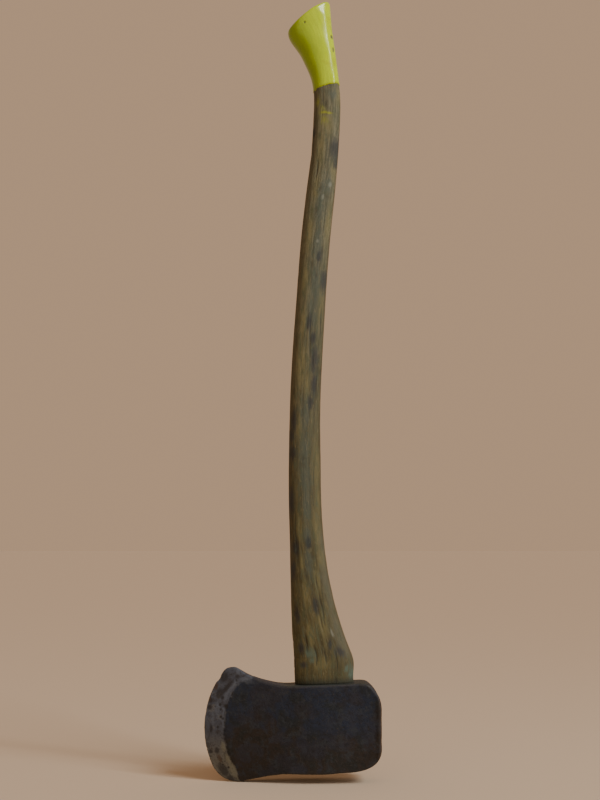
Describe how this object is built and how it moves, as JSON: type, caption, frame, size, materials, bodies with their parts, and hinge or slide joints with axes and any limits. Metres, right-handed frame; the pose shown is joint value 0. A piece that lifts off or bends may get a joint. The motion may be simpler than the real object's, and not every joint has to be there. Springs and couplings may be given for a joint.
{
  "type": "splitting maul",
  "caption": "Long-handled splitting maul: a forged wedge head with a flared bit and a flat poll on a curved wooden handle with a painted knob.",
  "frame": {"origin": "middle of the eye, level with the head's lower face, where the handle's wedged end is", "axes": "+Z along the eye to the knob, -X to the cutting edge, +X to the poll, Y across the cheeks"},
  "size_m": [0.1966, 0.0432, 0.911],
  "materials": {
    "forged_steel": "dark forged scale with worn, pitted bevels",
    "hickory": "weathered, stained and dirty",
    "wedge_wood": "sawn hardwood",
    "yellow_paint": "glossy brushed-on enamel",
    "wedge_steel": "rusted mild steel"
  },
  "bodies": {
    "root": {"maul_head": "forged_steel", "handle": "hickory", "wood_wedge": "wedge_wood", "knob_coat": "yellow_paint", "steel_wedge_front": "wedge_steel", "steel_wedge_back": "wedge_steel"}
  },
  "joints": []
}
